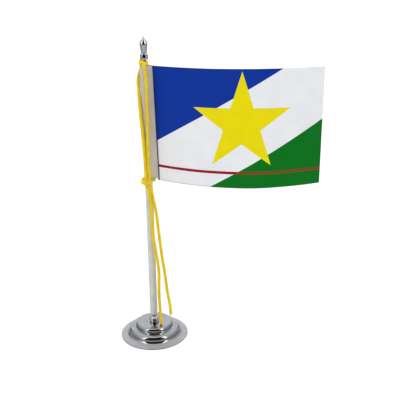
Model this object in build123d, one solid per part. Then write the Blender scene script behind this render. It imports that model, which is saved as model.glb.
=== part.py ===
from build123d import *
import math
import os

# Desk flag stand: a stepped chrome base, a thin pole with a spear finial, a cloth flag on a
# pole sleeve, and a doubled cord tied under the finial and again below the sleeve.
# Frame: origin on the pole axis at the resting plane, +Z up, +X along the flag. Millimetres.

# ---- driving dimensions ----
# base
BASE_R = 31.6              # outer edge of the spun shell
SHELL_T = 0.7              # sheet thickness
RIM_LOW_Z = 0.5            # the rim stands on the pad
RIM_TOP_Z = 1.15
FLANGE_IN_Z = 2.4          # height of the sloping flange where it meets the middle step
MID_R = 24.4
MID_OUT_Z = 8.2            # the middle step's tread falls from the top step to its own edge
MID_IN_Z = 8.95
MID_EDGE_ROUND = 3.5       # outer radii of each step's upper edge and foot
MID_FOOT_ROUND = 2.7
TOP_R = 17.6
TOP_Z = 13.3
TOP_EDGE_ROUND = 2.3
TOP_FOOT_ROUND = 0.4
STEP_DRAFT = 0.27          # each step wall leans in by this much
PAD_R = 30.8
PAD_T = RIM_LOW_Z

# pole and fittings
POLE_R = 3.5
POLE_WALL = 0.6
COLLAR_R = 4.6             # widest place of the barrel at the pole's foot
COLLAR_FOOT_R = 3.7
COLLAR_SHOULDER_R = 4.3
COLLAR_BARREL_H = 3.8
COLLAR_CONE_H = 5.2        # top of the cone above the barrel
COLLAR_NECK_R = 2.6        # narrow neck between the cone and the pole
COLLAR_H = 8.3
POLE_TOP_Z = 255.0
SCREW_R = 1.5              # M3
SCREW_LENGTH = 25.0
SCREW_HEAD_R = 3.0
SCREW_HEAD_H = 1.8
WASHER_R = 3.5
WASHER_T = 0.5
LOCK_WASHER_R = 3.1
LOCK_WASHER_T = 0.8
STUD_R = 1.5               # M3
THREAD_CLEARANCE = 0.05    # between a plain-turned thread and its bore
FOOT_INSERT_H = 12.0
TOP_INSERT_H = 12.0

# finial
FINIAL_Z = 260.5           # underside of its ring
FINIAL_TIP_Z = 279.6

# flag
SEAM_X = 7.6               # where the sleeve ends and the flag's field starts
FLY_X = 149.6
FLAG_LOW_Z = 155.4
FLAG_HIGH_Z = 255.4
FLAG_BOW = 16.0            # how far the middle of the cloth stands forward
CLOTH_T = 0.4
SLEEVE_R = 4.1             # outer radius round the pole
SLEEVE_T = 0.35
SLEEVE_LOW_Z = 156.9
SLEEVE_HIGH_Z = 255.6
STITCH_PITCH = 2.9

# cord
CORD_D = 2.7
HITCH_IN_R = 1.8           # the cord's turns round the finial stud
HITCH_OUT_R = 4.3
HITCH_LOW_Z = 255.75
HITCH_HIGH_Z = 260.2
LOWER_TURN_IN_R = 3.75     # the cord's turn round the pole, below the sleeve
LOWER_TURN_Z = 155.2
KNOT_R = 3.2
KNOT_AT = (-1.3, -6.9, 155.0)

# Cord routes, from the hitch down to the knot and from the knot down to the free ends.
FRONT_STRAND = [
    (0.2, -3.9, 258.3), (0.9, -5.6, 256.0), (1.5, -5.8, 252.0), (1.9, -5.8, 245.0),
    (2.2, -5.7, 234.0), (1.85, -5.6, 214.0), (1.75, -5.55, 200.0), (1.15, -5.65, 184.0),
    (1.05, -5.75, 173.5), (1.4, -5.9, 166.5), (2.0, -6.1, 161.0), (1.5, -6.5, 157.4),
]
LEFT_STRAND = [
    (-3.0, 2.9, 257.7), (-4.9, 4.1, 255.4), (-5.7, 2.2, 250.6), (-5.8, 0.3, 245.7),
    (-5.65, -1.4, 239.0), (-5.1, -2.8, 230.5), (-4.4, -3.9, 219.0), (-3.7, -4.55, 207.0),
    (-2.6, -5.2, 194.0), (-1.95, -5.5, 182.0), (-1.75, -5.6, 172.0), (-1.4, -5.85, 165.5),
    (-0.9, -6.2, 160.8), (-1.5, -6.6, 157.2),
]
LONG_TAIL = [
    (-0.9, -7.2, 153.2), (0.3, -7.2, 148.8), (1.5, -7.0, 143.0), (1.8, -6.7, 135.0),
    (2.4, -6.4, 123.5), (2.7, -6.1, 112.0), (2.8, -6.0, 102.5), (4.1, -5.9, 95.0),
    (4.6, -5.85, 88.0), (6.2, -5.8, 78.0), (7.2, -5.7, 68.5), (6.4, -5.6, 52.0),
    (6.4, -5.55, 38.0), (7.1, -5.5, 25.5), (7.5, -5.4, 14.3),
]
SHORT_TAIL = [
    (1.0, -6.4, 153.2), (2.4, -5.9, 149.5), (3.3, -5.5, 144.5), (4.3, -5.3, 138.0),
    (6.0, -5.25, 129.0), (7.1, -5.2, 120.0), (7.7, -5.15, 110.0), (8.7, -5.1, 100.0),
    (9.5, -5.1, 90.0), (10.7, -5.0, 79.0), (12.25, -5.0, 68.0), (13.2, -4.9, 57.0),
    (14.3, -4.9, 46.0), (15.9, -4.8, 36.5), (16.6, -4.8, 29.0), (16.7, -4.7, 22.9),
]

POLE_FOOT_Z = TOP_Z + COLLAR_H
BORE_R = SCREW_R + 0.25    # clearance hole through shell, ballast and collar
CEILING_Z = TOP_Z - SHELL_T
SCREW_SEAT_Z = 5.2         # roof of the ballast's counterbore
HEAD_TOP_Z = SCREW_SEAT_Z - WASHER_T - LOCK_WASHER_T


def revolved(points, rounds=()):
    """Solid of revolution about Z from (radius, height) corners; rounds are (corner, radius)."""
    corners = [(r, 0, z) for r, z in points]
    face = make_face(Polyline(*corners, close=True)).face()
    for index, radius in rounds:
        vertex = face.vertices().sort_by_distance(corners[index])[0]
        face = face.fillet_2d(radius, [vertex])
    return revolve(face, axis=Axis.Z)


def disc(radius, low_z, high_z, hole_r=0.0):
    """Plain round plate, with an optional hole."""
    middle = Pos(0, 0, (low_z + high_z) / 2)
    plate = middle * Cylinder(radius, high_z - low_z)
    if hole_r:
        plate -= middle * Cylinder(hole_r, high_z - low_z + 2)
    return plate


# ---- base ----
def base_shell():
    """One spun sheet: rim, sloping flange, middle step and top step."""
    t = SHELL_T
    outer = [
        (BORE_R, TOP_Z), (TOP_R - STEP_DRAFT, TOP_Z), (TOP_R, MID_IN_Z),
        (MID_R - STEP_DRAFT, MID_OUT_Z), (MID_R, FLANGE_IN_Z), (BASE_R, RIM_TOP_Z),
        (BASE_R, RIM_LOW_Z),
    ]
    inner = [
        (BASE_R - t, RIM_LOW_Z), (MID_R - t, FLANGE_IN_Z - t),
        (MID_R - STEP_DRAFT - t, MID_OUT_Z - t), (TOP_R - t, MID_IN_Z - t),
        (TOP_R - STEP_DRAFT - t, TOP_Z - t), (BORE_R, TOP_Z - t),
    ]
    rounds = [
        (1, TOP_EDGE_ROUND), (2, TOP_FOOT_ROUND), (3, MID_EDGE_ROUND), (4, MID_FOOT_ROUND),
        (5, 0.35), (8, MID_FOOT_ROUND + t), (9, MID_EDGE_ROUND - t), (10, TOP_FOOT_ROUND + t),
        (11, TOP_EDGE_ROUND - t),
    ]
    return revolved(outer + inner, rounds)


def ballast_weight():
    """Stepped iron disc that fills the shell, counterbored from below for the screw."""
    side_gap = 0.5
    low_r = MID_R - STEP_DRAFT - SHELL_T - side_gap
    boss_r = TOP_R - STEP_DRAFT - SHELL_T - side_gap
    shoulder_z = MID_OUT_Z - SHELL_T - side_gap
    counterbore_r = WASHER_R + 1.0
    return revolved(
        [
            (counterbore_r, PAD_T), (low_r, PAD_T), (low_r, shoulder_z), (boss_r, shoulder_z),
            (boss_r, CEILING_Z), (BORE_R, CEILING_Z), (BORE_R, SCREW_SEAT_Z),
            (counterbore_r, SCREW_SEAT_Z),
        ],
        [(2, MID_EDGE_ROUND - SHELL_T), (4, TOP_EDGE_ROUND - SHELL_T)],
    )


def base_pad():
    """Full disc under the base, the face that it rests on."""
    return disc(PAD_R, 0, PAD_T)


def fixing_screw():
    """Pan-head screw, driven from below, that clamps ballast, shell and pole together."""
    head_low_z = HEAD_TOP_Z - SCREW_HEAD_H
    tip_z = HEAD_TOP_Z + SCREW_LENGTH
    screw = revolved(
        [
            (0, head_low_z), (SCREW_HEAD_R, head_low_z), (SCREW_HEAD_R, HEAD_TOP_Z),
            (SCREW_R, HEAD_TOP_Z), (SCREW_R, tip_z), (0, tip_z),
        ],
        [(1, 1.0), (4, 0.4)],
    )
    slot_depth = 1.0
    slot_at = Pos(0, 0, head_low_z + slot_depth / 2)
    return screw - slot_at * Box(3.4, 0.7, slot_depth) - slot_at * Box(0.7, 3.4, slot_depth)


def spring_washer():
    """Split ring between the screw head and the plain washer."""
    ring = disc(LOCK_WASHER_R, HEAD_TOP_Z, HEAD_TOP_Z + LOCK_WASHER_T, SCREW_R + 0.1)
    gap_at = Pos(LOCK_WASHER_R - 0.7, 0, HEAD_TOP_Z + LOCK_WASHER_T / 2)
    gap = gap_at * Rot(25, 0, 0) * Box(3.0, 0.5, 3)
    return ring - gap


def plain_washer():
    """Flat ring against the ballast."""
    return disc(WASHER_R, SCREW_SEAT_Z - WASHER_T, SCREW_SEAT_Z, BORE_R - 0.05)


# ---- pole ----
def pole_collar():
    """Turned foot of the pole: a barrel with a conical top, and a narrow neck above it."""
    shoulder = (COLLAR_SHOULDER_R, 0, TOP_Z + COLLAR_BARREL_H)
    foot = (COLLAR_FOOT_R, 0, TOP_Z)
    barrel = ThreePointArc(foot, (COLLAR_R, 0, TOP_Z + COLLAR_BARREL_H * 0.6), shoulder)
    rest = Polyline(
        shoulder, (COLLAR_NECK_R, 0, TOP_Z + COLLAR_CONE_H), (COLLAR_NECK_R, 0, POLE_FOOT_Z),
        (BORE_R, 0, POLE_FOOT_Z), (BORE_R, 0, TOP_Z), foot,
    )
    return revolve(make_face(barrel + rest), axis=Axis.Z)


def pole_tube():
    """Plain chromed tube."""
    return disc(POLE_R, POLE_FOOT_Z, POLE_TOP_Z, POLE_R - POLE_WALL)


def threaded_insert(low_z, height, bore_r, bore_depth, open_end):
    """Plug pressed into the tube, with a blind bore from its lower (-1) or upper (+1) end."""
    plug = disc(POLE_R - POLE_WALL, low_z, low_z + height)
    bore_low = low_z - 1 if open_end < 0 else low_z + height - bore_depth
    bore_high = low_z + bore_depth if open_end < 0 else low_z + height + 1
    return plug - disc(bore_r, bore_low, bore_high)


def foot_insert():
    depth = FOOT_INSERT_H - 2.0
    return threaded_insert(POLE_FOOT_Z, FOOT_INSERT_H, SCREW_R + THREAD_CLEARANCE, depth, -1)


def top_insert():
    depth = TOP_INSERT_H - 1.5
    low_z = POLE_TOP_Z - TOP_INSERT_H
    return threaded_insert(low_z, TOP_INSERT_H, STUD_R + THREAD_CLEARANCE, depth, 1)


# ---- finial ----
STUD_LOW_Z = POLE_TOP_Z - 10.0
STUD_HIGH_Z = FINIAL_Z + 6.0


def finial_stud():
    """Threaded stud fixed in the finial; it screws into the pole and carries the cord hitch."""
    return disc(STUD_R, STUD_LOW_Z, STUD_HIGH_Z)


def finial():
    """Turned spear: a barrel ring, a waist, and a bud that runs up to a small point."""
    ring_r, ring_h, cap_h = 3.4, 4.3, 0.7
    foot_r, neck_r, bud_r = 3.3, 2.4, 3.3
    cap_z = FINIAL_Z + ring_h + cap_h
    neck_z = cap_z + 0.5
    bud_z = FINIAL_Z + 11.8
    barrel = ThreePointArc(
        (foot_r, 0, FINIAL_Z), (ring_r, 0, FINIAL_Z + ring_h * 0.4),
        (ring_r - 0.15, 0, FINIAL_Z + ring_h),
    )
    cap = Line((ring_r - 0.15, 0, FINIAL_Z + ring_h), (neck_r, 0, cap_z))
    waist = Polyline((neck_r, 0, cap_z), (neck_r, 0, neck_z), (bud_r - 0.12, 0, bud_z - 0.6))
    bud = Spline(
        (bud_r - 0.12, 0, bud_z - 0.6), (bud_r, 0, bud_z), (bud_r - 0.3, 0, bud_z + 2.2),
        (1.75, 0, bud_z + 4.3), (0.65, 0, FINIAL_TIP_Z - 1.6), (0.4, 0, FINIAL_TIP_Z - 0.3),
    )
    close = Polyline(
        (0.4, 0, FINIAL_TIP_Z - 0.3), (0.15, 0, FINIAL_TIP_Z), (0, 0, FINIAL_TIP_Z),
        (0, 0, FINIAL_Z), (foot_r, 0, FINIAL_Z),
    )
    body = revolve(make_face(barrel + cap + waist + bud + close), axis=Axis.Z)
    return body - disc(STUD_R, FINIAL_Z - 1, STUD_HIGH_Z)


# ---- flag ----
def flag_cloth():
    """The flag's field: a thin upright sheet that bows forward between hoist and fly."""
    half = CLOTH_T / 2
    hoist_x = SEAM_X - 0.3
    mid_x = (hoist_x + FLY_X) / 2
    front = ThreePointArc((hoist_x, -half), (mid_x, -FLAG_BOW - half), (FLY_X, -half))
    back = ThreePointArc((hoist_x, half), (mid_x, -FLAG_BOW + half), (FLY_X, half))
    ends = Line((hoist_x, -half), (hoist_x, half)) + Line((FLY_X, -half), (FLY_X, half))
    return Pos(0, 0, FLAG_LOW_Z) * extrude(make_face(front + back + ends), FLAG_HIGH_Z - FLAG_LOW_Z)


def teardrop(round_r, tail_r, tail_x):
    """Outline of cloth pulled round the pole and pinched to a tail at the seam."""
    pole_round = CenterArc((0, 0), round_r, 0, 360)
    tail_round = CenterArc((tail_x, 0), tail_r, 0, 360)
    return make_hull([pole_round, tail_round])


def pole_sleeve():
    """Cloth tube round the pole, open at both ends and sewn at its tail."""
    tail_r = 0.42
    outer = teardrop(SLEEVE_R, tail_r, SEAM_X - tail_r)
    inner = teardrop(SLEEVE_R - SLEEVE_T, 0.1, SEAM_X - tail_r - 0.5)
    return Pos(0, 0, SLEEVE_LOW_Z) * extrude(outer - inner, SLEEVE_HIGH_Z - SLEEVE_LOW_Z)


def sleeve_stitching():
    """Row of thread stitches through the cloth beside the sleeve."""
    count = int((FLAG_HIGH_Z - FLAG_LOW_Z) / STITCH_PITCH)
    stitch_x = SEAM_X + 0.9
    seam_y = -FLAG_BOW * 4 * (stitch_x - SEAM_X) / (FLY_X - SEAM_X)
    first_z = (FLAG_LOW_Z + FLAG_HIGH_Z - (count - 1) * STITCH_PITCH) / 2
    stitch = Box(0.4, CLOTH_T + 0.5, 1.9)
    return Compound(
        children=[Pos(stitch_x, seam_y, first_z + n * STITCH_PITCH) * stitch for n in range(count)]
    )


# ---- cord ----
def corner_radii(points):
    """Largest gentle arc for each inner corner of a route."""
    places = [Vector(*p) for p in points]
    radii = []
    for before, here, after in zip(places, places[1:], places[2:]):
        into, out = here - before, after - here
        half_turn = math.radians(into.get_angle(out)) / 2
        radii.append(0.45 * min(into.length, out.length) / math.tan(half_turn))
    return radii


def cord_tube(points, name):
    """Round cord along straight runs joined by tangent arcs."""
    radii = corner_radii(points)
    path = FilletPolyline(*points, radius=radii)
    section = Plane(origin=path @ 0, z_dir=path % 0) * Circle(CORD_D / 2)
    tube = sweep(section, path=path)
    expected = math.pi * CORD_D ** 2 / 4 * path.length
    print(
        f"{name}: length {path.length:.1f}, least radius {min(radii):.1f}, "
        f"volume {tube.volume:.1f} of {expected:.1f}"
    )
    return tube


def cord_top_hitch():
    """Outer shape of the doubled cord's turns round the finial stud."""
    return revolved(
        [
            (HITCH_IN_R, HITCH_LOW_Z), (HITCH_OUT_R, HITCH_LOW_Z),
            (HITCH_OUT_R, HITCH_HIGH_Z), (HITCH_IN_R, HITCH_HIGH_Z),
        ],
        [(1, 0.9), (2, 0.9)],
    )


def cord_lower_turn():
    """The cord's turn round the pole."""
    ring = Torus(LOWER_TURN_IN_R + CORD_D / 2, CORD_D / 2)
    return Pos(0, 0, LOWER_TURN_Z) * ring


def cord_knot():
    """Outer shape of the knot in front of the pole."""
    return Pos(*KNOT_AT) * Sphere(KNOT_R)


SUBPARTS = {
    "base_shell": base_shell,
    "ballast_weight": ballast_weight,
    "base_pad": base_pad,
    "fixing_screw": fixing_screw,
    "spring_washer": spring_washer,
    "plain_washer": plain_washer,
    "pole_collar": pole_collar,
    "pole_tube": pole_tube,
    "foot_insert": foot_insert,
    "top_insert": top_insert,
    "finial_stud": finial_stud,
    "finial": finial,
    "flag_cloth": flag_cloth,
    "pole_sleeve": pole_sleeve,
    "sleeve_stitching": sleeve_stitching,
    "cord_top_hitch": cord_top_hitch,
    "cord_lower_turn": cord_lower_turn,
    "cord_knot": cord_knot,
}
CORD_RUNS = {
    "cord_front_strand": FRONT_STRAND,
    "cord_left_strand": LEFT_STRAND,
    "cord_long_tail": LONG_TAIL,
    "cord_short_tail": SHORT_TAIL,
}

os.makedirs("parts", exist_ok=True)
for node, make in SUBPARTS.items():
    export_step(make(), f"parts/{node}.step")
for node, route in CORD_RUNS.items():
    export_step(cord_tube(route, node), f"parts/{node}.step")
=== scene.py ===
import math

import bpy
import numpy as np
from mathutils import Matrix, Vector


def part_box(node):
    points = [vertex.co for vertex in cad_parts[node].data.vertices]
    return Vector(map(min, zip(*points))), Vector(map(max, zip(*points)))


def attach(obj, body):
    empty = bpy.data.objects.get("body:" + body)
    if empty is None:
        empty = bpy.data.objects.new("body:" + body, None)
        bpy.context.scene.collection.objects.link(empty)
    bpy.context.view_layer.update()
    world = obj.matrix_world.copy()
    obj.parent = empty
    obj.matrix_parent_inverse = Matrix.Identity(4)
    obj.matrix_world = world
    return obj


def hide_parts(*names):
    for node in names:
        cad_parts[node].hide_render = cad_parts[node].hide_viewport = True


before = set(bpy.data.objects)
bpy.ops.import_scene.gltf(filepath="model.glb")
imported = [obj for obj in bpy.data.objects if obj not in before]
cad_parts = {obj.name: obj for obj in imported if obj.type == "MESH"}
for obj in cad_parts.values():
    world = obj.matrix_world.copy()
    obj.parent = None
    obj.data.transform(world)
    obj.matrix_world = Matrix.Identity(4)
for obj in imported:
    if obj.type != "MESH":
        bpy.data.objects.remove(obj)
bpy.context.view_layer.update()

MM = 0.001

# ---- places read from the frame ----
CLOTH_LOW, CLOTH_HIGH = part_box("flag_cloth")
SLEEVE_LOW, SLEEVE_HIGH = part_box("pole_sleeve")
SEAM_X = SLEEVE_HIGH.x     # where the sleeve is sewn to the field
FLY_X = CLOTH_HIGH.x       # the field's free edge
CLOTH_H = CLOTH_HIGH.z - CLOTH_LOW.z
CLOTH_BOW = -(CLOTH_LOW.y + CLOTH_HIGH.y)     # how far the field bows forward
SLEEVE_H = SLEEVE_HIGH.z - SLEEVE_LOW.z

# ---- cord sizes and routes, in millimetres ----
CORD_D = 2.7
STRANDS = 3
STRAND_SIDES = 10
STRAND_R = 0.62            # a strand's radius, as a share of the cord's
STRAND_OFFSET = 0.60       # its distance from the cord's middle, as the same share
LAY = 8.2                  # length of one full turn of a strand
RING_STEP = 0.4            # distance between the rings of a strand's mesh
FRAY_LENGTH = 3.5          # the bare end opens out over this length
FRAY_SPREAD, FRAY_THINNING, FRAY_UNTWIST = 0.35, 0.18, 1.5

# The routes are the part's own, with two differences: the left strand's first four points lie
# up to 3 mm further back, and the long tail's last two come up to 2 mm further forward.
FRONT_STRAND = [
    (0.2, -3.9, 258.3), (0.9, -5.6, 256.0), (1.5, -5.8, 252.0), (1.9, -5.8, 245.0),
    (2.2, -5.7, 234.0), (1.85, -5.6, 214.0), (1.75, -5.55, 200.0), (1.15, -5.65, 184.0),
    (1.05, -5.75, 173.5), (1.4, -5.9, 166.5), (2.0, -6.1, 161.0), (1.5, -6.5, 157.4),
]
LEFT_STRAND = [
    (-2.4, 5.0, 256.7), (-3.1, 5.3, 253.5), (-4.6, 4.2, 249.8), (-5.8, 2.0, 245.9),
    (-5.65, -1.4, 239.0), (-5.1, -2.8, 230.5), (-4.4, -3.9, 219.0), (-3.7, -4.55, 207.0),
    (-2.6, -5.2, 194.0), (-1.95, -5.5, 182.0), (-1.75, -5.6, 172.0), (-1.4, -5.85, 165.5),
    (-0.9, -6.2, 160.8), (-1.5, -6.6, 157.2),
]
LONG_TAIL = [
    (-0.9, -7.2, 153.2), (0.3, -7.2, 148.8), (1.5, -7.0, 143.0), (1.8, -6.7, 135.0),
    (2.4, -6.4, 123.5), (2.7, -6.1, 112.0), (2.8, -6.0, 102.5), (4.1, -5.9, 95.0),
    (4.6, -5.85, 88.0), (6.2, -5.8, 78.0), (7.2, -5.7, 68.5), (6.4, -5.6, 52.0),
    (6.4, -5.6, 38.0), (7.1, -6.1, 25.5), (7.6, -7.2, 14.2),
]
SHORT_TAIL = [
    (1.0, -6.4, 153.2), (2.4, -5.9, 149.5), (3.3, -5.5, 144.5), (4.3, -5.3, 138.0),
    (6.0, -5.25, 129.0), (7.1, -5.2, 120.0), (7.7, -5.15, 110.0), (8.7, -5.1, 100.0),
    (9.5, -5.1, 90.0), (10.7, -5.0, 79.0), (12.25, -5.0, 68.0), (13.2, -4.9, 57.0),
    (14.3, -4.9, 46.0), (15.9, -4.8, 36.5), (16.6, -4.8, 29.0), (16.7, -4.7, 22.9),
]
# The turns inside the hitch and the knot, whose outer shape the part's plain solids hold.
HITCH_FRONT = [
    (0.0, 2.9, 258.2), (-2.2, 2.4, 258.6), (-3.2, 0.2, 258.9), (-2.6, -2.3, 258.9),
    (-1.2, -3.6, 258.8),
]
HITCH_LEFT = [
    (-0.2, 2.9, 258.2), (1.4, 2.4, 257.9), (2.0, 0.3, 257.5), (1.5, -2.3, 257.3),
    (-0.4, -3.3, 257.2), (-2.5, -2.4, 257.3), (-3.4, 0.2, 257.4), (-3.1, 3.1, 257.3),
]
LOWER_TURN_R = 5.1
LOWER_TURN_Z = 155.2
KNOT_FRONT = [(0.6, -7.5, 156.1), (1.7, -6.8, 155.3)]
KNOT_FRONT_OUT = [
    (-4.9, -5.0, 155.0), (-4.0, -7.4, 154.8), (-2.4, -8.6, 154.4), (-1.1, -8.1, 153.8),
]
KNOT_LEFT = [
    (-2.9, -7.3, 156.0), (-3.0, -8.6, 155.4), (-1.3, -9.2, 155.2), (0.5, -8.4, 154.9),
    (0.9, -7.0, 154.2),
]


# ---- small helpers ----
def link(obj):
    """Puts an object into the scene."""
    bpy.context.scene.collection.objects.link(obj)
    return obj


def mesh_object(name, vertices, faces, smooth=True):
    """A mesh from points in metres and faces."""
    mesh = bpy.data.meshes.new(name)
    mesh.from_pydata([tuple(v) for v in vertices], [], faces)
    mesh.update()
    if smooth:
        mesh.shade_smooth()
    return link(bpy.data.objects.new(name, mesh))


def set_uv(obj, name, uv_of_vertex):
    """Stores one UV per vertex."""
    layer = obj.data.uv_layers.new(name=name)
    for loop in obj.data.loops:
        layer.data[loop.index].uv = uv_of_vertex[loop.vertex_index]


class Graph:
    """Short names for building a node tree."""

    def __init__(self, tree):
        self.tree = tree
        tree.nodes.clear()

    def node(self, kind, **settings):
        """A new node with these properties."""
        made = self.tree.nodes.new(kind)
        for name, value in settings.items():
            setattr(made, name, value)
        return made

    def put(self, value, socket):
        """Links a socket, or sets it to a plain value."""
        if isinstance(value, bpy.types.NodeSocket):
            self.tree.links.new(value, socket)
        else:
            socket.default_value = value

    def math(self, operation, *values):
        made = self.node("ShaderNodeMath", operation=operation)
        for value, socket in zip(values, made.inputs):
            self.put(value, socket)
        return made.outputs[0]

    def step(self, value, low, high, start=0.0, end=1.0):
        """Smooth step from start to end as value goes from low to high."""
        made = self.node("ShaderNodeMapRange", interpolation_type="SMOOTHSTEP")
        for item, socket in zip((value, low, high, start, end), made.inputs):
            self.put(item, socket)
        return made.outputs[0]

    def band(self, value, low, high, soft):
        """1 between low and high and 0 outside, with soft borders."""
        rise = self.step(value, low - soft, low + soft)
        fall = self.step(value, high - soft, high + soft, 1.0, 0.0)
        return self.math("MULTIPLY", rise, fall)

    def mix(self, factor, first, second):
        """A colour between two colours."""
        made = self.node("ShaderNodeMix", data_type="RGBA")
        self.put(factor, made.inputs[0])
        self.put(first, made.inputs[6])
        self.put(second, made.inputs[7])
        return made.outputs[2]

    def noise(self, vector, scale, detail=2.0, roughness=0.5):
        made = self.node("ShaderNodeTexNoise")
        self.put(vector, made.inputs["Vector"])
        made.inputs["Scale"].default_value = scale
        made.inputs["Detail"].default_value = detail
        made.inputs["Roughness"].default_value = roughness
        return made.outputs[0]

    def scaled(self, vector, x, y, z):
        """The vector with each of its parts multiplied."""
        made = self.node("ShaderNodeVectorMath", operation="MULTIPLY")
        self.put(vector, made.inputs[0])
        made.inputs[1].default_value = (x, y, z)
        return made.outputs[0]

    def parts(self, vector):
        """The three numbers of a vector."""
        made = self.node("ShaderNodeSeparateXYZ")
        self.put(vector, made.inputs[0])
        return made.outputs

    def bump(self, height, strength, distance):
        made = self.node("ShaderNodeBump")
        self.put(height, made.inputs["Height"])
        made.inputs["Strength"].default_value = strength
        made.inputs["Distance"].default_value = distance
        return made.outputs[0]


def rgb(red, green, blue):
    """Linear colour from 0-255 display values."""
    def linear(value):
        value /= 255
        return value / 12.92 if value <= 0.04045 else ((value + 0.055) / 1.055) ** 2.4
    return (linear(red), linear(green), linear(blue), 1.0)


def new_material(name):
    """(material, graph, principled shader, place in metres)"""
    material = bpy.data.materials.new(name)
    material.use_nodes = True
    graph = Graph(material.node_tree)
    shader = graph.node("ShaderNodeBsdfPrincipled")
    output = graph.node("ShaderNodeOutputMaterial")
    graph.put(shader.outputs[0], output.inputs[0])
    place = graph.node("ShaderNodeTexCoord").outputs["Object"]
    return material, graph, shader, place


# ---- camera ----
CAMERA_PLACE = (0.0965, -0.5683, 0.3424)                       # metres
CAMERA_PAN, CAMERA_DOWN, CAMERA_ROLL = 4.25, 20.61, -0.35      # degrees
CAMERA_LENS = 58.29


def make_camera():
    """The view: slightly to the right of the pole, looking down at it."""
    camera = bpy.data.cameras.new("camera")
    camera.sensor_width = 36
    camera.lens = CAMERA_LENS
    camera.clip_start = 0.01
    camera.clip_end = 100
    obj = link(bpy.data.objects.new("camera", camera))
    turn = Matrix.Rotation(math.radians(CAMERA_PAN), 4, "Z")
    tilt = Matrix.Rotation(math.radians(90 - CAMERA_DOWN), 4, "X")
    roll = Matrix.Rotation(math.radians(CAMERA_ROLL), 4, "Z")
    obj.matrix_world = Matrix.Translation(CAMERA_PLACE) @ turn @ tilt @ roll
    bpy.context.scene.camera = obj


# ---- cord ----
def spline_line(points_mm):
    """Points along the smooth line that has these control points, in metres."""
    curve = bpy.data.curves.new("route", "CURVE")
    curve.dimensions = "3D"
    curve.resolution_u = 24
    spline = curve.splines.new("NURBS")
    spline.points.add(len(points_mm) - 1)
    for point, place in zip(spline.points, points_mm):
        point.co = (*(c * MM for c in place), 1)
    spline.order_u = 3
    spline.use_endpoint_u = True
    obj = bpy.data.objects.new("route", curve)
    mesh = bpy.data.meshes.new_from_object(obj)
    line = np.array([v.co for v in mesh.vertices], float)
    bpy.data.meshes.remove(mesh)
    bpy.data.curves.remove(curve)
    return line


def even(line, step):
    """The line again with evenly spaced points."""
    along = np.concatenate([[0], np.cumsum(np.linalg.norm(np.diff(line, axis=0), axis=1))])
    at = np.linspace(0, along[-1], max(2, round(along[-1] / step) + 1))
    return np.stack([np.interp(at, along, line[:, k]) for k in range(3)], axis=1), at


def carried_frames(line):
    """Two cross directions at each point, carried along without twist."""
    tangents = np.gradient(line, axis=0)
    tangents /= np.linalg.norm(tangents, axis=1)[:, None]
    side = np.cross(tangents[0], (0.3, 0.1, 0.9))
    side /= np.linalg.norm(side)
    sides = [side]
    for tangent in tangents[1:]:
        side = side - tangent * side.dot(tangent)
        side /= np.linalg.norm(side)
        sides.append(side)
    sides = np.array(sides)
    return tangents, sides, np.cross(tangents, sides)


def rope(name, points_mm, material, body):
    """A twisted cord along a route, with its bare end slightly opened out."""
    ring, lay = STRAND_SIDES, LAY * MM
    line, at = even(spline_line(points_mm), RING_STEP * MM)
    tangents, sides, ups = carried_frames(line)
    radius = CORD_D / 2 * MM
    opening = np.clip(1 - (at[-1] - at) / (FRAY_LENGTH * MM), 0, 1) ** 2
    offset = radius * STRAND_OFFSET * (1 + FRAY_SPREAD * opening)
    strand_r = radius * STRAND_R * (1 - FRAY_THINNING * opening)
    vertices, faces, uvs = [], [], []
    for strand in range(STRANDS):
        turn = 2 * math.pi * (at / lay + strand / STRANDS) - FRAY_UNTWIST * opening
        centre = line + offset[:, None] * (
            np.cos(turn)[:, None] * sides + np.sin(turn)[:, None] * ups
        )
        first = len(vertices)
        for k in range(ring):
            angle = 2 * math.pi * k / ring
            spin = turn + angle
            out = np.cos(spin)[:, None] * sides + np.sin(spin)[:, None] * ups
            vertices.extend(centre + strand_r[:, None] * out)
            uvs.extend((a / lay, k / ring) for a in at)
        count = len(at)
        for k in range(ring):
            low, high = first + k * count, first + (k + 1) % ring * count
            faces.extend(
                (low + i, low + i + 1, high + i + 1, high + i) for i in range(count - 1)
            )
        for end, sign in ((0, -1), (count - 1, 1)):
            tip = len(vertices)
            vertices.append(centre[end] + sign * tangents[end] * strand_r[end] * 0.7)
            uvs.append((at[end] / lay, 0.5))
            for k in range(ring):
                low, high = first + k * count + end, first + (k + 1) % ring * count + end
                faces.append((low, high, tip) if sign > 0 else (high, low, tip))
    obj = mesh_object(name, vertices, faces)
    set_uv(obj, "yarn", uvs)
    obj.data.materials.append(material)
    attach(obj, body)
    return obj, line, float(at[-1])


def lower_turn():
    """The turn round the pole, from its front right by the back to its left."""
    first, last, count = -50, 215, 10      # degrees from +X
    angles = [math.radians(first + (last - first) * k / (count - 1)) for k in range(count)]
    r = LOWER_TURN_R
    return [(r * math.cos(a), r * math.sin(a), LOWER_TURN_Z) for a in angles]


def make_cords(material):
    """The two halves of the doubled cord, each from the hitch to its bare end."""
    front_route = (
        HITCH_FRONT + FRONT_STRAND + KNOT_FRONT + lower_turn() + KNOT_FRONT_OUT + LONG_TAIL
    )
    left_route = HITCH_LEFT + LEFT_STRAND + KNOT_LEFT + SHORT_TAIL
    routes = {
        "cord_front": (front_route, ["cord_front_strand", "cord_lower_turn", "cord_long_tail"]),
        "cord_left": (left_route, ["cord_left_strand", "cord_short_tail"]),
    }
    for name, (route, nodes) in routes.items():
        obj, line, length = rope(name, route, material, "flag")
        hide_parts(*nodes, "cord_top_hitch", "cord_knot")


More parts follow.
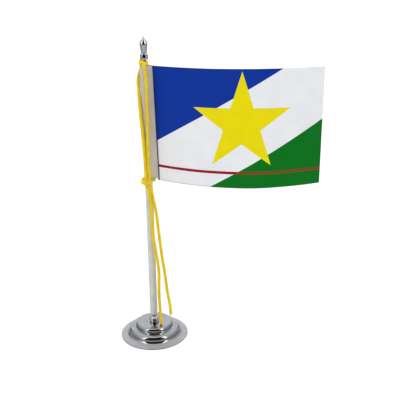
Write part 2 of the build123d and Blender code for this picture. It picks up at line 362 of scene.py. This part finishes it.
# ---- flag cloth ----
FIELD_LENGTH = 146.8       # the printed field, along the cloth, in millimetres
FIELD_HEIGHT = 100.0
EDGE_BEAD = 0.5            # width of the heat-sealed edge
SEAM_LEAN = 1.1            # the seam stands this much nearer the pole at the top
SEAM_LAP = 0.4             # the field starts this far inside the seam
CLOTH_THICK = 0.42
LONG_RIPPLE, SHORT_RIPPLE = 0.55, 0.22     # heights of two waves along the field
CORNER_CURL = 0.9          # the free edge twists by this much from foot to top
FOOT_SAG = 1.2             # the lower edge hangs down this much at its middle


def seam_x(height_share):
    """The seam's distance from the pole axis; the sleeve is a little wider at its foot."""
    return SEAM_X + (1 - 2 * height_share) * SEAM_LEAN * MM


def cloth_place(along, up):
    """A point of the flag's field at shares of its length and height."""
    hoist = seam_x(up) - SEAM_LAP * MM
    half = (FLY_X - hoist) / 2
    radius = (half ** 2 + CLOTH_BOW ** 2) / (2 * CLOTH_BOW)
    spread = math.asin(half / radius)
    angle = spread * (2 * along - 1)
    x = (FLY_X + hoist) / 2 + radius * math.sin(angle)
    y = radius * (math.cos(spread) - math.cos(angle))
    free = math.sin(math.pi * min(along, 0.5))
    ripple = LONG_RIPPLE * math.sin(2 * math.pi * (1.15 * along + 0.10) + 1.4 * up)
    ripple += SHORT_RIPPLE * math.sin(2 * math.pi * (2.7 * along - 0.25 * up) + 0.8)
    curl = CORNER_CURL * (up - 0.5) * along ** 2
    sag = FOOT_SAG * (1 - up) * math.sin(math.pi * along)
    z = CLOTH_LOW.z + CLOTH_H * up - sag * MM
    return Vector((x, y + (ripple * free + curl) * MM, z))


def with_edges(length, edge, count):
    """Shares from 0 to 1, with extra lines close to both ends."""
    near = [0, edge * 0.5 / length, edge / length, edge * 1.5 / length]
    inner = list(np.linspace(near[-1], 1 - near[-1], count))
    return near[:-1] + inner + [1 - n for n in reversed(near[:-1])]


def grid_faces(columns, rows):
    """Quads of a grid whose points run up each column in turn."""
    faces = []
    for i in range(columns - 1):
        for j in range(rows - 1):
            a, b = i * rows + j, (i + 1) * rows + j
            faces.append((a, b, b + 1, a + 1))
    return faces


def thicken(obj, thickness, weights, least):
    """Gives a sheet its thickness where weights are 1, and the share least of it elsewhere."""
    solid = obj.modifiers.new("thickness", "SOLIDIFY")
    solid.thickness = thickness
    solid.offset = 0
    group = obj.vertex_groups.new(name="edge")
    for index, weight in enumerate(weights):
        group.add([index], weight, "REPLACE")
    solid.vertex_group = "edge"
    solid.thickness_vertex_group = least


def make_field(material):
    """The printed field of the flag."""
    across = with_edges(FIELD_LENGTH, EDGE_BEAD, 120)
    upward = with_edges(FIELD_HEIGHT, EDGE_BEAD, 84)
    vertices = [cloth_place(u, v) for u in across for v in upward]
    uvs = [(u, v) for u in across for v in upward]
    weights = []
    for u, v in uvs:
        to_edge = min(v, 1 - v) * FIELD_HEIGHT
        to_edge = min(to_edge, (1 - u) * FIELD_LENGTH)
        weights.append(1.0 if to_edge < EDGE_BEAD * 0.75 else 0.0)
    obj = mesh_object("flag_field", vertices, grid_faces(len(across), len(upward)))
    set_uv(obj, "cloth", uvs)
    obj.data.materials.append(material)
    thicken(obj, CLOTH_THICK * MM, weights, 0.45)
    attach(obj, "flag")
    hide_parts("flag_cloth")
    return obj


# ---- sleeve ----
SLEEVE_MID_R = 3.93        # radius of the cloth's middle where it lies on the pole
SLEEVE_THICK = 0.4
SLEEVE_TUCK = 0.55         # the two faces draw together by this much beside the pole
SLEEVE_HALF_GAP = 0.26     # and stay this far from the middle between them
EDGE_WAVE = 0.25           # the top and foot edges rise and fall by this much


def sleeve_place(around, up):
    """A point of the sleeve: around goes from the seam by the front and the back to the seam."""
    tail = Vector((seam_x(up) + 0.1 * MM, 0))
    radius = SLEEVE_MID_R * MM
    touch = math.acos(radius / tail.x)
    straight = math.sqrt(tail.x ** 2 - radius ** 2)
    arc = (2 * math.pi - 2 * touch) * radius
    total = 2 * straight + arc
    at = around * total
    front = -1
    if at > total / 2:
        at, front = total - at, 1
    if at < straight:
        share = at / straight
        touching = Vector((math.cos(touch), math.sin(touch))) * radius
        flat = tail.lerp(touching, share)
        flat.y -= SLEEVE_TUCK * MM * math.sin(math.pi * share) ** 1.5
        flat.y = max(flat.y, SLEEVE_HALF_GAP * MM)
    else:
        angle = touch + (at - straight) / radius
        flat = Vector((math.cos(angle), math.sin(angle))) * radius
    z = SLEEVE_LOW.z + SLEEVE_H * up
    angle = math.atan2(front * flat.y, flat.x)
    z_mm = z / MM
    fold = 0.09 * math.sin(z_mm * 0.35 + 2.2 * math.sin(angle + 0.6))
    fold += 0.07 * math.sin(z_mm * 0.83 - 3.1 * angle) + 0.05 * math.sin(5 * angle + z_mm * 0.11)
    loose = 1 - abs(math.cos(angle / 2)) ** 6
    grow = 1 + fold * loose * MM / radius
    z += EDGE_WAVE * MM * math.sin(3 * angle + 0.7) * (up - 0.5) * 2
    return Vector((flat.x * grow, front * flat.y * grow, z))


def make_sleeve(material):
    """The cloth pocket that holds the flag on the pole."""
    columns = 84
    height = SLEEVE_H / MM
    upward = with_edges(height, EDGE_BEAD, 110)
    around = [k / (columns - 1) for k in range(columns)]
    vertices = [sleeve_place(a, v) for a in around for v in upward]
    uvs = [(a, v) for a in around for v in upward]
    weights = [1.0 if min(v, 1 - v) * height < EDGE_BEAD * 0.75 else 0.0 for a, v in uvs]
    obj = mesh_object("flag_sleeve", vertices, grid_faces(len(around), len(upward)))
    set_uv(obj, "cloth", uvs)
    obj.data.materials.append(material)
    thicken(obj, SLEEVE_THICK * MM, weights, 0.6)
    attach(obj, "flag")
    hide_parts("pole_sleeve")
    return obj


# ---- seam ----
STITCH_PITCH, STITCH_LENGTH = 2.9, 2.3
STITCH_ALONG = 1.1         # the row's distance from the field's start, along the cloth
THREAD_R = 0.2


def stitch_rows(name, rows, thread_r, material):
    """Thread stitches from rows of (start, end, outward), in metres."""
    ring, stations = 6, 7
    vertices, faces = [], []
    for start, end, outward in rows:
        run = end - start
        side = run.cross(outward).normalized()
        first = len(vertices)
        for i in range(stations):
            share = i / (stations - 1)
            lift = math.sin(math.pi * share) ** 0.5
            centre = start + run * share + outward * thread_r * (1.5 * lift - 0.9)
            r = thread_r * (0.45 + 0.55 * lift)
            for k in range(ring):
                angle = 2 * math.pi * k / ring
                vertices.append(centre + (side * math.cos(angle) + outward * math.sin(angle)) * r)
        for i in range(stations - 1):
            for k in range(ring):
                a, b = first + i * ring + k, first + i * ring + (k + 1) % ring
                faces.append((a, b, b + ring, a + ring))
        last = first + (stations - 1) * ring
        faces.append(tuple(first + k for k in reversed(range(ring))))
        faces.append(tuple(last + k for k in range(ring)))
    obj = mesh_object(name, vertices, faces)
    obj.data.materials.append(material)
    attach(obj, "flag")
    return obj


def make_seam(material):
    """Two faces of straight stitches where the sleeve is sewn to the field."""
    count = int(FIELD_HEIGHT / STITCH_PITCH)
    rows = []
    for face in (-1, 1):
        for n in range(count):
            low = (n + 0.5) * STITCH_PITCH - STITCH_LENGTH / 2
            ends = []
            for z in (low, low + STITCH_LENGTH):
                up = z / FIELD_HEIGHT
                place = cloth_place(STITCH_ALONG / FIELD_LENGTH, up)
                ahead = cloth_place((STITCH_ALONG + 1) / FIELD_LENGTH, up)
                normal = (ahead - place).cross(Vector((0, 0, 1))).normalized()
                normal = normal if normal.y * face > 0 else -normal
                ends.append((place + normal * 0.12 * MM, normal))
            rows.append((ends[0][0], ends[1][0], ends[0][1]))
    obj = stitch_rows("seam_stitches", rows, THREAD_R * MM, material)
    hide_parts("sleeve_stitching")
    return obj


# ---- materials ----
# The print, in millimetres along the field and up from its foot.
PRINT_SOFT = 0.12          # half the width over which two colours meet
BLUE_SLOPE, BLUE_START = 0.585, 35.1       # its lower edge, and that edge's height at the seam
GREEN_SLOPE, GREEN_START = 0.583, 49.5     # its upper edge, and where that meets the foot
STAR_ALONG, STAR_UP = 77.3, 54.9           # the star's middle
STAR_WIDE, STAR_HIGH = 42.6, 43.2          # its reach sideways and upwards
STAR_LEAN = 0.012                          # sideways for each millimetre up
STAR_INNER = 0.382                         # inner corners' reach, as a share of the points'
LINE_LOW, LINE_HIGH = 12.2, 14.6           # the thin line
CLOTH_THREAD = 0.3                         # width of one thread of the weave


def flag_print():
    """Blue, white and green fields split by two slanting lines, a star and a thin line."""
    material, g, shader, place = new_material("flag_print")
    uv = g.node("ShaderNodeUVMap", uv_map="cloth").outputs[0]
    share = g.parts(uv)
    s = g.math("MULTIPLY", share[0], FIELD_LENGTH)
    z = g.math("MULTIPLY", share[1], FIELD_HEIGHT)
    soft = PRINT_SOFT

    white = rgb(230, 232, 235)
    above = g.math("SUBTRACT", z, g.math("MULTIPLY_ADD", s, BLUE_SLOPE, BLUE_START))
    blue_side = g.step(above, -soft, soft)
    colour = g.mix(blue_side, white, rgb(4, 50, 152))
    past_start = g.math("SUBTRACT", s, GREEN_START)
    below = g.math("SUBTRACT", g.math("MULTIPLY", past_start, GREEN_SLOPE), z)
    green_side = g.step(below, -soft, soft)
    colour = g.mix(green_side, colour, rgb(0, 112, 24))

    # the star: fold the plane into one tenth of it, where its edge is one straight line
    lift = g.math("SUBTRACT", z, STAR_UP)
    aside = g.math("SUBTRACT", s, STAR_ALONG)
    aside = g.math("SUBTRACT", aside, g.math("MULTIPLY", lift, STAR_LEAN))
    px = g.math("DIVIDE", aside, STAR_WIDE)
    pz = g.math("DIVIDE", lift, STAR_HIGH)
    tenth = math.pi / 5
    bearing = g.math("ARCTAN2", px, pz)
    folded = g.math("PINGPONG", g.math("ADD", bearing, 20 * tenth), tenth)
    reach = g.math("SQRT", g.math("ADD", g.math("MULTIPLY", px, px), g.math("MULTIPLY", pz, pz)))
    fx = g.math("MULTIPLY", reach, g.math("SINE", folded))
    fz = g.math("MULTIPLY", reach, g.math("COSINE", folded))
    edge_x, edge_z = STAR_INNER * math.sin(tenth), STAR_INNER * math.cos(tenth) - 1
    size = math.hypot(edge_x, edge_z)
    outside = g.math(
        "ADD", g.math("MULTIPLY", fx, -edge_z / size),
        g.math("MULTIPLY", g.math("SUBTRACT", fz, 1), edge_x / size),
    )
    star = g.step(outside, -0.003, 0.003, 1.0, 0.0)
    colour = g.mix(star, colour, rgb(230, 215, 0))

    # the thin line lets a little of the green through
    line = g.band(z, LINE_LOW, LINE_HIGH, soft)
    line = g.math("MULTIPLY", line, g.math("MULTIPLY_ADD", green_side, -0.3, 1))
    colour = g.mix(line, colour, rgb(150, 16, 34))

    # painted shade: the sealed edges, where the cloth lies double and lets less light through,
    # and the strip beside the seam, in the shadow of its fold, are darkened towards near black
    dark = g.step(z, 0.45, 0.9, 0.4, 0.0)
    top_edge_painted_shade = g.step(g.math("SUBTRACT", FIELD_HEIGHT, z), 0.5, 1.0, 0.5, 0.0)
    dark = g.math("MAXIMUM", dark, g.math("MULTIPLY", top_edge_painted_shade, blue_side))
    # painted shadow of the seam's fold, darkest up to 1.7 mm from the field's start
    dark = g.math("MAXIMUM", dark, g.step(s, 1.7, 2.5, 0.85, 0.0))
    colour = g.mix(dark, colour, rgb(26, 28, 34))

    blotch = g.noise(place, 60, 3)
    colour = g.mix(g.step(blotch, 0.3, 0.7, 0.0, 0.045), colour, rgb(70, 74, 84))
    g.put(colour, shader.inputs["Base Color"])
    shader.inputs["Roughness"].default_value = 0.6
    shader.inputs["Specular IOR Level"].default_value = 0.08

    thread = 2 * math.pi / CLOTH_THREAD
    warp = g.math("SINE", g.math("MULTIPLY", s, thread))
    weft = g.math("SINE", g.math("MULTIPLY", z, thread))
    weave = g.math("ADD", g.math("MULTIPLY", warp, weft), g.noise(place, 900, 2))
    g.put(g.bump(weave, 0.22, 0.00006), shader.inputs["Normal"])
    return material


def plain_cloth(name, base, pitch, around_mm, height_mm):
    """Plain woven cloth with visible threads."""
    material, g, shader, place = new_material(name)
    uv = g.parts(g.node("ShaderNodeUVMap", uv_map="cloth").outputs[0])
    thread = 2 * math.pi / pitch
    warp = g.math("SINE", g.math("MULTIPLY", uv[0], thread * around_mm))
    weft = g.math("SINE", g.math("MULTIPLY", uv[1], thread * height_mm))
    weave = g.math("MULTIPLY", warp, weft)
    shade = g.noise(place, 90, 2)
    dark = rgb(*(c * 0.96 for c in base))
    colour = g.mix(g.step(shade, 0.3, 0.7), rgb(*base), dark)
    # painted shade: the weave's hollows between threads are darkened a little towards grey
    colour = g.mix(g.step(weave, -0.6, -0.1, 0.12, 0.0), colour, rgb(90, 92, 96))
    g.put(colour, shader.inputs["Base Color"])
    shader.inputs["Roughness"].default_value = 0.85
    shader.inputs["Sheen Weight"].default_value = 0.15
    g.put(g.bump(g.math("ADD", weave, shade), 0.3, 0.00008), shader.inputs["Normal"])
    return material


def thread_material():
    """Dark sewing thread with its own twist."""
    material, g, shader, place = new_material("thread")
    turns = g.noise(g.scaled(place, 1, 1, 0.4), 5000, 1)
    g.put(g.mix(turns, rgb(62, 64, 70), rgb(104, 106, 112)), shader.inputs["Base Color"])
    shader.inputs["Roughness"].default_value = 0.7
    g.put(g.bump(turns, 0.4, 0.00005), shader.inputs["Normal"])
    return material


def cord_yarn():
    """Shiny twisted yarn: fine filaments lie across each strand."""
    material, g, shader, place = new_material("cord_yarn")
    uv = g.parts(g.node("ShaderNodeUVMap", uv_map="yarn").outputs[0])
    slant = g.math("ADD", g.math("MULTIPLY", uv[0], 9.0), g.math("MULTIPLY", uv[1], 12.0))
    filament = g.math("SINE", g.math("MULTIPLY", slant, 2 * math.pi))
    fuzz = g.noise(place, 1600, 3)
    tone = g.noise(place, 160, 2)
    colour = g.mix(g.step(tone, 0.3, 0.7), rgb(250, 222, 40), rgb(242, 210, 30))
    # painted shade: the grooves between filaments are darkened towards brown
    colour = g.mix(g.step(filament, -1.0, 0.2, 0.3, 0.0), colour, rgb(165, 130, 14))
    g.put(colour, shader.inputs["Base Color"])
    shader.inputs["Roughness"].default_value = 0.48
    shader.inputs["Specular IOR Level"].default_value = 0.3
    shader.inputs["Sheen Weight"].default_value = 0.05
    height = g.math("ADD", filament, g.math("MULTIPLY", fuzz, 0.8))
    g.put(g.bump(height, 0.45, 0.00006), shader.inputs["Normal"])
    return material


def satin_plating(name, tone, rough, grain):
    """Dull plating; grain says how fine its faint polishing marks are along x, y and z."""
    material, g, shader, place = new_material(name)
    marks = g.noise(g.scaled(place, *grain), 1, 2)
    cloud = g.noise(place, 90, 3)
    shader.inputs["Metallic"].default_value = 0.3
    worn = rgb(*(c * 0.93 for c in tone))
    g.put(g.mix(g.step(cloud, 0.35, 0.75), rgb(*tone), worn), shader.inputs["Base Color"])
    haze = g.math("MULTIPLY_ADD", cloud, rough * 0.8, rough * 0.6)
    g.put(g.math("MULTIPLY_ADD", marks, rough * 0.5, haze), shader.inputs["Roughness"])
    g.put(g.bump(marks, 0.05, 0.00002), shader.inputs["Normal"])
    return material


def turned_chrome(name, tone, rough, hazy_from=1.0):
    """Plating on a turned part: faint marks run round the axis, and it is dull past a radius."""
    material, g, shader, place = new_material(name)
    x, y, z = g.parts(place)
    r = g.math("SQRT", g.math("ADD", g.math("MULTIPLY", x, x), g.math("MULTIPLY", y, y)))
    rings = g.node("ShaderNodeCombineXYZ")
    g.put(r, rings.inputs[0])
    g.put(z, rings.inputs[2])
    marks = g.noise(rings.outputs[0], 2600, 2)
    cloud = g.noise(place, 110, 3)
    dull = g.step(r, hazy_from, hazy_from + 1.5 * MM)
    g.put(g.math("MULTIPLY_ADD", dull, -0.3, 1), shader.inputs["Metallic"])
    worn = rgb(*(c * 0.94 for c in tone))
    g.put(g.mix(g.step(cloud, 0.35, 0.75), rgb(*tone), worn), shader.inputs["Base Color"])
    haze = g.math("MULTIPLY_ADD", cloud, rough * 0.8, rough * 0.6)
    haze = g.math("MULTIPLY_ADD", dull, 0.28, haze)
    g.put(g.math("MULTIPLY_ADD", marks, rough * 0.5, haze), shader.inputs["Roughness"])
    g.put(g.bump(marks, 0.04, 0.00002), shader.inputs["Normal"])
    return material


def speckled(name, base, rough, metallic, scale, strength):
    """Cast, foamed or plated surfaces that are mostly hidden."""
    material, g, shader, place = new_material(name)
    grain = g.noise(place, scale, 4, 0.6)
    dark = rgb(*(c * 0.7 for c in base))
    g.put(g.mix(g.step(grain, 0.3, 0.7), rgb(*base), dark), shader.inputs["Base Color"])
    shader.inputs["Metallic"].default_value = metallic
    g.put(g.math("MULTIPLY_ADD", grain, 0.25, rough - 0.12), shader.inputs["Roughness"])
    g.put(g.bump(grain, strength, 0.0001), shader.inputs["Normal"])
    return material


def paint(material, *nodes):
    """Gives CAD nodes a material."""
    for name in nodes:
        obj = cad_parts[name]
        if not obj.material_slots:
            obj.data.materials.append(material)
        for slot in obj.material_slots:
            slot.material = material


# ---- stage and light ----
def make_floor():
    """A wide pale sweep; the chrome mirrors the studio instead, which has its own floor."""
    far = 40
    corners = [(-far, -far, 0), (far, -far, 0), (far, far, 0), (-far, far, 0)]
    floor = mesh_object("floor", corners, [(0, 1, 2, 3)], smooth=False)
    material, g, shader, place = new_material("floor")
    shader.inputs["Base Color"].default_value = (0.93, 0.93, 0.93, 1)
    shader.inputs["Roughness"].default_value = 0.9
    shader.inputs["Specular IOR Level"].default_value = 0.1
    floor.data.materials.append(material)
    floor.visible_glossy = False


LIGHT_AIM = (0.05, 0, 0.15)
LIGHT_SIZE = 1.0


def area_light(name, place, power):
    """Soft light that the chrome doesn't mirror; its reflections come from the world."""
    data = bpy.data.lights.new(name, "AREA")
    data.shape = "DISK"
    data.size = LIGHT_SIZE
    data.energy = power
    obj = link(bpy.data.objects.new(name, data))
    obj.location = place
    obj.rotation_euler = (Vector(LIGHT_AIM) - Vector(place)).to_track_quat("-Z", "Y").to_euler()
    obj.visible_glossy = False


def overhead_light(strength):
    """Even light from straight above, for the floor."""
    data = bpy.data.lights.new("overhead", "SUN")
    data.energy = strength
    data.angle = 1.2       # radians
    obj = link(bpy.data.objects.new("overhead", data))
    obj.visible_glossy = False


# The studio that the chrome mirrors. Bearings are in degrees to the right of straight in front,
# and heights in degrees above the horizon.
FRONT = 9                  # the middle of the dark opening
FRONT_HALF = 42
LAMP_OUT = FRONT_HALF + 7
SIDE, SIDE_HALF = 98, 40
CAMERA_BACKGROUND = 1.25   # white, seen by the camera alone
SHADES = [
    # middle, half width, lowest, highest, softness, share of the tent's light taken away
    (FRONT, FRONT_HALF, -12, 69, 3, 1.0),
    (148, 9, 3, 24, 3, 0.8),
    (-126, 8, 3, 24, 3, 0.8),
    (SIDE, SIDE_HALF, -80, 40, 8, 0.45),
    (-SIDE, SIDE_HALF, -80, 40, 8, 0.45),
    (FRONT, 62, 73, 86, 3, -0.5),          # a brighter strip above the opening
]
LIT = [
    # middle, half width, lowest, highest, softness, light added
    (FRONT, FRONT_HALF, 23, 32, 2, 0.12),  # a faint panel across the opening
    (FRONT - LAMP_OUT, 4, 12, 60, 4, 3.6),
    (FRONT + LAMP_OUT, 5, 12, 60, 4, 4.2),
]


def make_world():
    """A pale studio tent with a dark opening in front, shaded sides and a lamp at each side."""
    world = bpy.data.worlds.new("studio")
    world.use_nodes = True
    bpy.context.scene.world = world
    g = Graph(world.node_tree)
    x, y, z = g.parts(g.node("ShaderNodeTexCoord").outputs["Generated"])
    to_degrees = 180 / math.pi
    bearing = g.math("MULTIPLY", g.math("ARCTAN2", x, g.math("MULTIPLY", y, -1)), to_degrees)
    height = g.math("MULTIPLY", g.math("ARCSINE", z), to_degrees)

    tent_walls = g.step(height, 0, 80, 1.2, 0.95)
    tent_floor = g.step(height, -45, -20, 0.45, 0.66)
    whole = g.node("ShaderNodeMix")
    g.put(g.step(height, -2, 2), whole.inputs[0])
    g.put(tent_floor, whole.inputs[2])
    g.put(tent_walls, whole.inputs[3])
    tent = whole.outputs[0]

    def window(middle, half, low, high, soft):
        across = g.band(bearing, middle - half, middle + half, soft)
        return g.math("MULTIPLY", across, g.band(height, low, high, soft))

    for *place, share in SHADES:
        kept = g.math("MULTIPLY_ADD", window(*place), -share, 1)
        tent = g.math("MULTIPLY", tent, kept)
    for *place, light in LIT:
        tent = g.math("MULTIPLY_ADD", window(*place), light, tent)

    mirrored = g.node("ShaderNodeBackground")
    g.put(tent, mirrored.inputs["Strength"])
    plain = g.node("ShaderNodeBackground")
    plain.inputs["Strength"].default_value = CAMERA_BACKGROUND
    seen = g.node("ShaderNodeMixShader")
    g.put(g.node("ShaderNodeLightPath").outputs["Is Camera Ray"], seen.inputs[0])
    g.put(mirrored.outputs[0], seen.inputs[1])
    g.put(plain.outputs[0], seen.inputs[2])
    output = g.node("ShaderNodeOutputWorld")
    g.put(seen.outputs[0], output.inputs[0])


# ---- build ----
make_camera()
bpy.context.scene.view_settings.view_transform = "Standard"

make_cords(cord_yarn())

field = make_field(flag_print())
# painted shade: the sleeve is the same white cloth as the field, given this greyer base colour
# because, lying over the pole, it lets less light through
sleeve = make_sleeve(plain_cloth("sleeve_cloth", (200, 194, 182), 0.34, 32, 98.7))
seam = make_seam(thread_material())

paint(turned_chrome("chrome_base", (184, 186, 189), 0.1, 25.0 * MM), "base_shell")
paint(turned_chrome("chrome_trim", (226, 227, 230), 0.06), "pole_collar", "finial")
paint(satin_plating("chrome_pole", (226, 230, 228), 0.42, (1500, 1500, 60)), "pole_tube")
paint(speckled("pad_foam", (40, 40, 43), 0.9, 0.0, 2500, 0.5), "base_pad")
paint(speckled("ballast_iron", (62, 60, 60), 0.7, 0.6, 700, 0.6), "ballast_weight")
paint(
    speckled("screw_steel", (176, 176, 172), 0.35, 1.0, 500, 0.1),
    "fixing_screw", "spring_washer", "plain_washer", "finial_stud",
)
paint(speckled("insert_brass", (196, 160, 88), 0.35, 1.0, 600, 0.1), "foot_insert", "top_insert")

make_floor()
make_world()
area_light("key", (-0.5, -0.9, 1.3), power=3.0)
area_light("fill", (0.9, -0.8, 0.8), power=1.2)
overhead_light(1.6)
